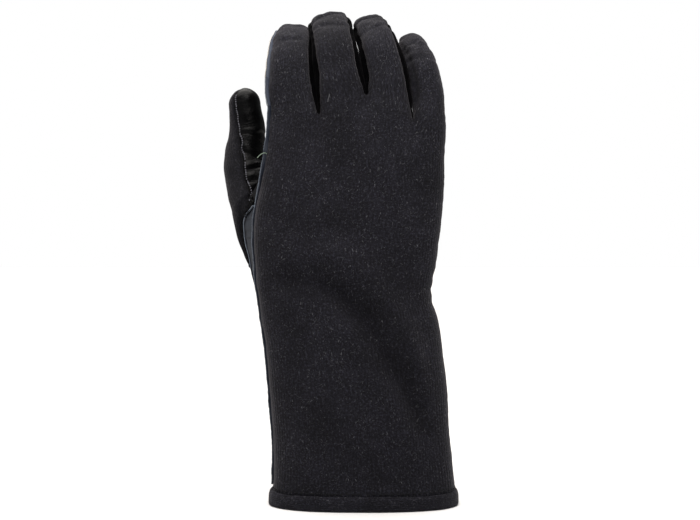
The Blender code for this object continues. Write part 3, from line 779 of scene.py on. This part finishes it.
class Look(Nodes):
    """A material built on its UV map, which is in millimetres."""

    def __init__(self, name):
        self.material = bpy.data.materials.new(name)
        super().__init__(self.material)
        self.uv = self.add("ShaderNodeUVMap", uv_map="UVMap").outputs["UV"]

    def stretched(self, x, y, turn=0.0):
        scale, rotation = (1.0 / x, 1.0 / y, 1.0), (0.0, 0.0, math.radians(turn))
        inputs = {"Vector": self.uv, "Scale": scale, "Rotation": rotation}
        return self.add("ShaderNodeMapping", inputs, vector_type="TEXTURE").outputs["Vector"]

    def noise(self, size, detail=2.0, rough=0.55, vector=None, lift=0.0):
        inputs = {"Scale": 1.0 / size, "Detail": detail, "Roughness": rough, "Distortion": lift,
                  "Vector": vector or self.uv}
        return self.add("ShaderNodeTexNoise", inputs).outputs["Fac"]

    def ramp(self, fac, *stops):
        """A colour ramp, its stops given as (place, grey) or (place, colour)."""
        node = self.add("ShaderNodeValToRGB", {"Fac": fac})
        e = node.color_ramp.elements
        while len(e) < len(stops):
            e.new(0.5)
        for slot, (at, colour) in zip(e, stops):
            slot.position = at
            slot.color = (*(colour if isinstance(colour, tuple) else (colour,) * 3), 1.0)
        return node.outputs["Color"]

    def math(self, op, a, b):
        return self.add("ShaderNodeMath", {0: a, 1: b}, operation=op).outputs[0]

    def mix(self, fac, a, b, mode="MIX"):
        node = self.add("ShaderNodeMix", data_type="RGBA", blend_type=mode)
        for i, value in ((0, fac), (6, a), (7, b)):
            self.put(node.inputs[i], value)
        return node.outputs[2]

    def bump(self, height, distance, strength=1.0):
        inputs = {"Distance": distance * MM, "Strength": strength, "Height": height}
        return self.add("ShaderNodeBump", inputs).outputs["Normal"]

    def painted_shade_amount(self):
        # painted shade: how far a colour darkens in the seams, the wrist fold and the slits
        sunken = self.add("ShaderNodeAttribute", attribute_name="sunken").outputs["Fac"]
        return self.math("MULTIPLY", sunken, 0.6)

    def finish(self, **values):
        for key, value in values.items():
            self.put(self.tree.nodes["Principled BSDF"].inputs[key.replace("_", " ")], value)
        return self.material


def scaled(colour, by):
    return tuple(c * by for c in colour)


def knit_material(name, tone, nap=0.08):
    """Charcoal heather knit: fine ribs, mottled yarn, pale fibres lying across it, a short nap."""
    m = Look(name)

    def shade(level):
        return tuple(tone * level * c for c in (1.0, 0.985, 1.38))

    grain = m.noise(1.25, 3.0, 0.8)
    ribs = m.noise(1.0, 2.0, 0.6, m.stretched(1.25, 0.20))
    patch = m.noise(14.0, 3.0, 0.55)
    base = m.ramp(grain, (0.34, shade(0.0030)), (0.5, shade(0.0120)), (0.66, shade(0.036)))
    base = m.mix(m.ramp(ribs, (0.38, 0.70), (0.58, 0.0)), base, shade(0.0060))
    base = m.mix(m.ramp(patch, (0.34, 0.22), (0.52, 0.0)), base, shade(0.0060))
    base = m.mix(m.ramp(patch, (0.50, 0.0), (0.72, 0.18)), base, shade(0.030))
    clumps = m.math("MULTIPLY", m.noise(5.0, 2.0, 0.6), 0.10)
    for size, turn, low, level in (
        (0.90, 24.0, 0.708, 0.055),
        (0.85, -38.0, 0.725, 0.075),
        (1.0, 66.0, 0.739, 0.105),
        (0.95, 100.0, 0.748, 0.135),
    ):
        fibres = m.math("ADD", m.noise(size, 2.0, 0.5, m.stretched(0.42, 1.45, turn), 0.7), clumps)
        pale = (tone * level, tone * level, 1.1 * tone * level)
        base = m.mix(m.ramp(fibres, (low, 0.0), (low + 0.05, 1.0)), base, pale)
    # painted shade: the knit darkens in its seams, the wrist fold and the slits
    base = m.mix(m.painted_shade_amount(), base, shade(0.0035))
    lie = m.ramp(m.noise(34.0, 2.0, 0.5), (0.36, 0.70), (0.60, 1.0))
    base = m.mix(1.0, base, lie, "MULTIPLY")
    wave = {"Scale": 0.18, "Distortion": 1.6, "Detail": 2.0, "Detail Scale": 0.8, "Vector": m.uv}
    loops = m.add("ShaderNodeTexWave", wave, wave_type="BANDS", bands_direction="X").outputs["Fac"]
    height = m.math("ADD", grain, m.math("MULTIPLY", loops, 0.30))
    height = m.math("ADD", height, m.math("MULTIPLY", ribs, 0.5))
    return m.finish(Base_Color=base, Normal=m.bump(height, 0.40, 0.9), Roughness=0.95, Sheen_Weight=nap,
                    Sheen_Roughness=0.40, Sheen_Tint=(0.76, 0.72, 0.78), Specular_IOR_Level=1.5 * nap)


def leather_material(name, dark, mid, gloss, shine):
    """Grain leather: fine pebbled grain, creases that cross it and a gloss that varies."""
    m = Look(name)
    grain = m.add("ShaderNodeTexVoronoi", {"Scale": 1.0 / 0.62, "Vector": m.uv}).outputs["Distance"]
    broad = m.noise(9.0, 3.0, 0.6)
    folds = m.noise(3.4, 3.0, 0.6, m.stretched(0.45, 1.5, 12.0), 0.6)
    base = m.mix(broad, dark, mid)
    base = m.mix(m.ramp(folds, (0.36, 0.55), (0.47, 0.0)), base, scaled(dark, 0.4))
    # painted shade: the leather darkens along its seams
    base = m.mix(m.painted_shade_amount(), base, scaled(dark, 0.4))
    height = m.math("ADD", m.math("MULTIPLY", grain, 0.22), folds)
    return m.finish(Base_Color=base, Roughness=m.ramp(broad, (0.3, gloss), (0.75, gloss + 0.22)),
                    Normal=m.bump(height, 0.5, 0.8), Specular_IOR_Level=shine)


def thread_material(name, colour):
    m = Look(name)
    twist = m.noise(0.5, 1.0, 0.5)
    return m.finish(Base_Color=m.mix(twist, scaled(colour, 0.6), scaled(colour, 1.3)),
                    Normal=m.bump(twist, 0.1), Roughness=0.8, Specular_IOR_Level=0.15)


def edge_material(name, pale, inside, split):
    """The cut edge of the side seam: a pale ply outside, a darker ply against the knit, and a painted shade
    line where they part.
    """
    m = Look(name)
    across = m.math("MULTIPLY", m.add("ShaderNodeSeparateXYZ", {"Vector": m.uv}).outputs["X"], 1.0 / 9.0)
    mottle = m.noise(1.6, 3.0, 0.6, m.stretched(0.2, 1.0))
    ply = m.math("ADD", across, m.math("MULTIPLY", m.math("SUBTRACT", mottle, 0.5), 0.35))
    frayed = m.mix(m.ramp(mottle, (0.55, 0.0), (0.70, 0.5)), pale, scaled(pale, 1.4))
    base = m.mix(m.ramp(ply, (split - 0.09, 0.0), (split, 1.0)), frayed, inside)
    # painted shade: a near-black line where the two plies part
    groove_shade = [(split + past, grey) for past, grey in ((-0.06, 0.0), (-0.02, 1.0), (0.06, 1.0), (0.10, 0.0))]
    base = m.mix(m.ramp(across, *groove_shade), base, (0.003, 0.004, 0.008))
    return m.finish(Base_Color=base, Roughness=0.6, Normal=m.bump(mottle, 0.4, 0.8))


knit = knit_material("knit", 0.68)
# painted shade: the walls between the fingers take a near-black copy of the same knit, for the shade deep in
# the slits
knit_side = knit_material("knit_side", 0.06, 0.01)
# painted shade: the thumb takes a darker copy of the same knit, standing in for the shade that falls on it
thumb_knit = knit_material("thumb_knit", 0.44)
pad_leather = leather_material("pad_leather", (0.0010, 0.0010, 0.0012), (0.0024, 0.0024, 0.0027), 0.24, 0.06)
PALM_DARK, PALM_LIGHT = (0.0030, 0.0030, 0.0034), (0.0075, 0.0075, 0.0085)
palm_leather = leather_material("palm_leather", PALM_DARK, PALM_LIGHT, 0.38, 0.30)
gore_leather = leather_material("gore_leather", (0.018, 0.020, 0.026), (0.037, 0.042, 0.053), 0.55, 0.25)
edge_leather = edge_material("edge_leather", (0.115, 0.138, 0.175), (0.0035, 0.0075, 0.018), 0.45)
# painted light: along the index the seam edge takes lighter, warmer copies of the same edge, palest towards
# the tip, for the top light on the fingers
root_edge = edge_material("root_edge", (0.15, 0.165, 0.19), (0.028, 0.036, 0.058), 0.56)
finger_edge = edge_material("finger_edge", (0.42, 0.40, 0.37), (0.045, 0.055, 0.08), 0.58)
black_thread = thread_material("black_thread", (0.004, 0.004, 0.005))
grey_thread = thread_material("grey_thread", (0.13, 0.13, 0.15))
green_thread = thread_material("green_thread", (0.20, 0.26, 0.20))
tape = thread_material("tape", (0.02, 0.02, 0.022))

PANEL_LOOK = {
    "back": (knit, "knit"), "cuff_palm": (knit, "knit"), "palm": (palm_leather, "palm_leather"),
    "gore": (gore_leather, "gore_leather"), "wall": (knit_side, "knit"),
    "thumb_knit": (thumb_knit, "knit"), "thumb_pad": (pad_leather, "palm_leather"),
}
for name, obj in pieces.items():
    panel = PANELS[panel_id[np.argmax(part_id == part_index[name])]]
    if name.startswith("little_") and name.endswith("_thumb_side"):
        # this wall faces the camera side of its slit, out of the slit's shade, so it keeps the plain knit
        # rather than the shaded copy
        panel = "back"
    dress(obj, *PANEL_LOOK[panel])

# ---- seams, hem and threads

fine_tree = tree_of(fine)


def on_skin(p):
    """The nearest point of the finished skin, with its normal."""
    _, i, _ = fine_tree.find(Vector(p))
    return fine[i], fine_normals[i]


def face_out(obj):
    """Turns the faces of a closed mesh outwards."""
    bm = bmesh.new()
    bm.from_mesh(obj.data)
    bmesh.ops.recalc_face_normals(bm, faces=bm.faces)
    bm.to_mesh(obj.data)
    bm.free()
    return obj


def sweep(name, path, sides, outs, profiles, closed=False):
    """A profile of (side, out) offsets at each point of a path, capped at open ends."""
    n, m = len(path), len(profiles[0])
    offsets = np.array(profiles)
    rings = path[:, None] + offsets[..., :1] * sides[:, None] + offsets[..., 1:] * outs[:, None]
    faces, uv = [], []
    run = run_of(path)
    if closed:
        run = np.append(run, run[-1] + np.linalg.norm(path[0] - path[-1]))
    for i, (v0, v1) in enumerate(zip(run[:-1], run[1:])):
        j = (i + 1) % n
        for k in range(m):
            l = (k + 1) % m
            faces.append((i * m + k, i * m + l, j * m + l, j * m + k))
            uv += [(k, v0), (k + 1, v0), (k + 1, v1), (k, v1)]
    if not closed:
        for i, step in ((0, -1), (n - 1, 1)):
            faces.append(tuple(range(i * m, i * m + m))[::step])
            uv += [(0.1 * k, run[i]) for k in range(m)]
    mesh = new_mesh(name, rings.reshape(-1, 3), faces, uv, np.zeros(n * m))
    mesh.set_sharp_from_angle(angle=math.radians(50))
    return face_out(place(name, mesh))


# Hem: one folded band round the mouth.
HEM_TOP = 8.4
hem_path = tube_point(0.0, np.linspace(0, 360, 241)[:-1])
outs = np.cross(np.roll(hem_path, -1, axis=0) - np.roll(hem_path, 1, axis=0), (0, 0, 1.0))
outs /= np.linalg.norm(outs, axis=1, keepdims=True)
outs *= np.sign((outs * (hem_path * (1.0, 3.2, 0.0) - (0.5, 0.0, 0.0))).sum(axis=1))[:, None]
profiles = []
for p in hem_path:
    wave = noise.noise(Vector((p[0] / 16.0, p[1] / 16.0, 3.0)))
    fine_wave = noise.noise(Vector((p[0] / 4.0, p[1] / 4.0, 9.0)))
    proud = 1.75 + 0.35 * wave + 0.15 * fine_wave
    top = HEM_TOP + 0.5 * wave + 0.25 * fine_wave
    ring = []
    for t in np.linspace(0, 1, 15):
        # the outer ply swells between the fold and the stitches
        swell = proud * (1.0 - 0.92 * t ** 6) * min(1.0, 0.35 + 3.2 * math.sqrt(t * 0.5) + 0.02)
        swell -= 0.5 * math.exp(-(t / 0.05) ** 2)
        ring.append((max(swell, 0.12) + 0.12 * fine_wave * math.sin(9 * t), top * t))
    profiles.append(ring + [(-1.5, top - 0.4), (-1.75, top * 0.5), (-1.5, 0.3), (0.1, 0.0)])
ups = np.tile((0, 0, 1.0), (len(hem_path), 1))
hem = dress(sweep("hem_fold", hem_path, outs, ups, profiles, closed=True), knit, "knit")


def stitches(name, line, length, gap, radius, material, depth=0.0):
    """A row of short rounded stitches along a line of points on the skin."""
    run = run_of(line)
    verts, faces = [], []
    at = gap
    while at + length < run[-1]:
        ends = []
        for spot in points_at([at, at + length], run, line):
            near, normal = on_skin(spot)
            # keep the place along the line; take only the height from the skin
            ends.append((spot + normal * ((near - spot) @ normal), normal))
        (a, na), (b, nb) = ends
        d = b - a
        d /= np.linalg.norm(d)
        side = np.cross(d, (na + nb) / 2)
        side /= np.linalg.norm(side)
        up = np.cross(side, d)
        start = len(verts)
        for t in np.linspace(0, 1, 7):
            c = mix(a, b, t) + up * (radius * 1.15 * math.sin(math.pi * t) - radius * 0.35 - depth)
            r = radius * (0.45 + 0.55 * math.sin(math.pi * min(max(t, 0.04), 0.96)))
            for q in range(6):
                g = 2 * math.pi * q / 6
                verts.append(c + side * r * math.cos(g) + up * r * math.sin(g))
        for i in range(start, start + 36, 6):
            for q in range(6):
                w = (q + 1) % 6
                faces.append((i + q, i + w, i + 6 + w, i + 6 + q))
        faces += [tuple(range(start, start + 6))[::-1], tuple(range(start + 36, start + 42))]
        at += length + gap
    uv = [(verts[i][0] + verts[i][1], verts[i][2]) for face in faces for i in face]
    return dress(face_out(place(name, new_mesh(name, verts, faces, uv))), material, "thread")


hem_line = tube_point(HEM_TOP + 1.5, np.linspace(0, 360, 361))
hem_stitches = stitches("hem_stitches", hem_line, 2.5, 0.8, 0.32, black_thread)

# The raw edge of the side seam: two plies of leather that stand out along it.
# Each part of it is a list of points, each with the way that the edge stands out there.
side_path = {"main": [], "lower": [], "middle": [], "tip": []}
index = fingers[0]
skin_now = np.concatenate(points)
for p in skin_now[H[:, 0]]:
    if p[2] > HEM_TOP + 1.0:
        side_path["main"].append((p, (-0.80, -0.60, 0.0)))
for s, i in zip(index.rows[1:], index.ids[1:, 0]):
    bone = "lower" if s < index.cuts[0] else "middle" if s < index.cuts[1] else "tip"
    if s < index.length - 0.3:
        out = -0.52 * index.frame_at(s)[1] - 0.85 * index.palmward(s)
        side_path[bone].append((skin_now[i], out))
for a, b in (("main", "lower"), ("lower", "middle"), ("middle", "tip")):
    side_path[a].append(side_path[b][0])


def edge_strip(name, line, proud, half, material, seed, outward=None):
    """Two plies that stand up side by side along a line on the skin, a little wavy."""
    run = run_of(line)
    at = np.linspace(0, run[-1], max(6, int(run[-1] / 0.9)))
    path = points_at(at, run, line)
    tangent = np.gradient(path, axis=0)
    tangent /= np.linalg.norm(tangent, axis=1, keepdims=True)
    ns = np.array([on_skin(p)[1] for p in path])
    if outward is not None:
        ns = ns * 0.35 + points_at(at, run, outward) * 0.65
    kernel = np.ones(9) / 9
    ns = np.stack([np.convolve(np.pad(ns[:, j], 4, mode="edge"), kernel, "valid") for j in range(3)], 1)
    ns -= tangent * (ns * tangent).sum(axis=1, keepdims=True)
    ns /= np.linalg.norm(ns, axis=1, keepdims=True)
    profiles = []
    for p in path:
        w = noise.noise(Vector(p / 7.0) + Vector((seed, 0, 0)))
        w2 = noise.noise(Vector(p / 1.6) + Vector((0, seed, 0)))
        w3 = noise.noise(Vector(p / 5.0) + Vector((0, 0, seed)))
        top = proud * (1.0 + 0.28 * w + 0.12 * w2)
        sway = 0.35 * w3
        profiles.append([
            (-half * 0.9, -0.9), (-half + sway * 0.4, top * 0.45), (-half * 0.92 + sway, top * 0.92),
            (-half * 0.35 + sway, top * (1.0 + 0.05 * w2)), (sway, top * 0.86),
            (half * 0.4 + sway, top * (0.98 - 0.05 * w2)),
            (half * 0.95 + sway, top * 0.90), (half + sway * 0.4, top * 0.45), (half * 0.9, -0.9),
        ])
    return dress(sweep(name, path, np.cross(tangent, ns), ns, profiles), material, "edge_leather")


edges = {}
for bone, proud, half, look in (
    ("main", 1.6, 0.75, edge_leather), ("lower", 2.0, 0.85, root_edge),
    ("middle", 2.0, 0.85, finger_edge), ("tip", 2.0, 0.85, finger_edge),
):
    line, outward = (np.array(column) for column in zip(*side_path[bone]))
    edges[bone] = edge_strip("side_seam_" + bone, line, proud, half, look, 4.0, outward)

# Where the gore meets the thumb: a rolled edge, with its own line of stitches.
gore_line = skin_now[H[hole_low - 7:hole_high, hole_right]]
gore_edge = edge_strip("gore_seam", gore_line, 0.8, 0.5, edge_leather, 11.0)


def beside(line, by):
    """A line moved across the skin by some millimetres."""
    tangent = np.gradient(line, axis=0)
    tangent /= np.linalg.norm(tangent, axis=1, keepdims=True)
    return line + np.cross(tangent, [on_skin(p)[1] for p in line]) * by


# Thumb seam: stitches beside it, on the leather.
cut_row = int(np.argmin(abs(thumb_heights - THUMB_CUT)))
seam_line = skin_now[thumb_ids[:, seam_a]]
thumb_stitches = [
    stitches("thumb_stitches_" + bone, beside(line, 1.8), 1.1, 0.5, 0.42, grey_thread, 0.12)
    for bone, line in (("lower", seam_line[6:cut_row + 1]), ("tip", seam_line[cut_row:-5]))
]
gore_stitches = stitches("gore_stitches", beside(gore_line, -1.7), 1.9, 1.0, 0.2, black_thread)


def thread_end(name, start, steps, radius, material):
    """A cut end of sewing thread: a thin tube on a few points."""
    curve = bpy.data.curves.new(name, "CURVE")
    curve.dimensions = "3D"
    curve.bevel_depth = radius * MM
    curve.bevel_resolution = 2
    curve.use_fill_caps = True
    spline = curve.splines.new("BEZIER")
    spline.bezier_points.add(len(steps))
    base, normal = on_skin(start)
    spots = np.cumsum([base + normal * radius * 0.4, *steps], axis=0)
    for slot, p in zip(spline.bezier_points, spots):
        slot.co = Vector(p) * MM
        slot.handle_left_type = slot.handle_right_type = "AUTO"
    return dress(place(name, curve), material, "thread")


gore_top = skin_now[H[hole_high - 4, hole_right]]
thread_a = thread_end("thread_end_a", gore_top,
                      [(-0.6, -2.4, 1.7), (0.9, -0.6, 1.5), (-1.0, 0.1, 2.0)], 0.28, black_thread)
thread_b = thread_end("thread_end_b", gore_top + (0.6, 0.0, -1.2),
                      [(-1.2, -2.2, 1.2), (1.9, -0.6, 0.8), (0.5, -0.2, 1.6), (-0.7, 0.2, 2.0)],
                      0.28, black_thread)
seam_spot = skin_now[H[int(np.argmin(abs(heights[:, 0] - 203.0))), 0]]
thread_c = thread_end("thread_end_c", seam_spot,
                      [(-1.8, -1.8, 0.5), (-2.0, -0.6, -1.1), (-1.9, 0.2, -1.7)], 0.2, green_thread)

# ---- what rides on which body: the cuff's pieces and the thread ends; the rest are baked in place

joints = {j["name"]: j for j in frame["joints"]}


def across_wrist(obj):
    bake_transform(obj)


for obj in (pieces["glove_back"], pieces["glove_palm"], edges["main"], pieces["thumb_gore_leather"],
            gore_edge, gore_stitches):
    across_wrist(obj)
for obj in (pieces["cuff_inner_side"], hem, hem_stitches):
    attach(obj, "cuff")
for obj in (thread_a, thread_b, thread_c):
    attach(obj, "hand")

for f in fingers:
    zones = {
        "lower": ("hand", f"{f.name}_lower", 0.0, min(f.cuts[0], 14.5)),
        "middle": (f"{f.name}_lower", f"{f.name}_middle", max(f.joints[1] - 7.5, f.cuts[0]),
                   min(f.joints[1] + 7.5, f.cuts[1])),
        "tip": (f"{f.name}_middle", f"{f.name}_tip", max(f.joints[2] - 5.5, f.cuts[1]), f.joints[2] + 5.5),
    }
    for bone, (a, b, low, high) in zones.items():
        own = [obj for name, obj in pieces.items() if name.startswith(f"{f.name}_{bone}_")]
        if f.name == "index":
            own.append(edges[bone])
        for obj in own:
            tuple(f.centre(low) * MM)
            tuple(f.centre(high) * MM)
            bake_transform(obj)

for joint, height, reach, bodies, bone, stitch in (
    ("thumb_swing", 181.0, 0.011, ("hand", "thumb_lower"), "lower", thumb_stitches[0]),
    ("thumb_tip_bend", 213.0, 0.008, ("thumb_lower", "thumb_tip"), "tip", thumb_stitches[1]),
):
    centre, along = np.array(joints[joint]["pos_m"]), thumb_frame(height)[1] * reach
    for obj in (pieces[f"thumb_{bone}_back"], pieces[f"thumb_{bone}_pad"], stitch):
        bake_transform(obj)

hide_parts("cuff_back", "hand_back")
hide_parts("palm", "palm_heel")
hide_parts("cuff_palm")
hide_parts("thumb_gore")
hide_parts("hem_band")
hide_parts("hem_thread")
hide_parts("side_seam_edge_cuff", "side_seam_edge_hand")
for bone in ("lower", "middle", "tip"):
    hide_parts("side_seam_edge_index_" + bone)
for a, b in (("index", "middle"), ("middle", "ring"), ("ring", "little")):
    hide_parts(f"fork_gusset_{a}_{b}")
for name, obj in pieces.items():
    if name in frame["nodes"] and not name.startswith("thumb_lower"):
        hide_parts(name)
for side in ("back", "pad"):
    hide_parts("thumb_lower_" + side, "thumb_root_" + side)
for slot in frame["nodes"]["wrist_elastic"].material_slots:
    slot.material = tape

# ---- floor, light and camera


bpy.ops.mesh.primitive_plane_add(size=40.0, location=(0, 0, 0))
floor = bpy.context.object
floor.name = "floor"
floor.data.materials.append(Look("floor").finish(Base_Color=(0.62, 0.62, 0.62), Roughness=0.9))

# The backdrop is white; the light that it gives is softer than it looks.
world = bpy.data.worlds.new("studio")
bpy.context.scene.world = world
sky = Nodes(world)
backdrop = sky.tree.nodes["Background"]
sky.put(backdrop.inputs["Color"], (1.0, 1.0, 1.0))
glow = sky.add("ShaderNodeBackground", {"Color": (0.98, 0.99, 1.0), "Strength": 0.18})
seen = sky.add("ShaderNodeLightPath").outputs["Is Camera Ray"]
either = sky.add("ShaderNodeMixShader", {"Fac": seen, 1: glow.outputs[0], 2: backdrop.outputs[0]})
sky.put(sky.tree.nodes["World Output"].inputs["Surface"], either.outputs[0])
bpy.context.scene.view_settings.view_transform = "Standard"


def light(name, spot, aim, size, power, colour):
    data = bpy.data.lights.new(name, "AREA")
    data.shape = "RECTANGLE"
    data.size, data.size_y = size
    data.energy = power
    data.color = colour
    obj = scene_object(name, data)
    obj.location = spot
    obj.rotation_euler = (Vector(aim) - Vector(spot)).to_track_quat("-Z", "Y").to_euler()


light("key", (0.50, -0.75, 0.85), (0.0, 0.0, 0.16), (0.4, 0.5), 2.2, (1.0, 0.98, 0.98))
light("fill", (-0.9, -0.6, 0.5), (0.0, 0.0, 0.14), (0.7, 0.7), 0.75, (0.96, 0.98, 1.0))
light("crown", (0.0, -0.24, 0.62), (0.0, 0.0, 0.25), (0.35, 0.15), 1.8, (1.0, 0.97, 0.95))
top = bpy.data.lights.new("top", "SUN")
top.energy = 5.8
top.angle = math.radians(75)
top.color = (1.0, 0.96, 0.92)
scene_object("top", top).rotation_euler = (math.radians(-8), math.radians(-6), 0)

camera = scene_object("camera", bpy.data.cameras.new("camera"))
camera.data.lens = 61.4
camera.data.sensor_width = 36.0
camera.data.clip_start = 0.01
camera.location = (-0.0070, -0.699, 0.1418)
camera.rotation_euler = (math.radians(90), 0, 0)
bpy.context.scene.camera = camera
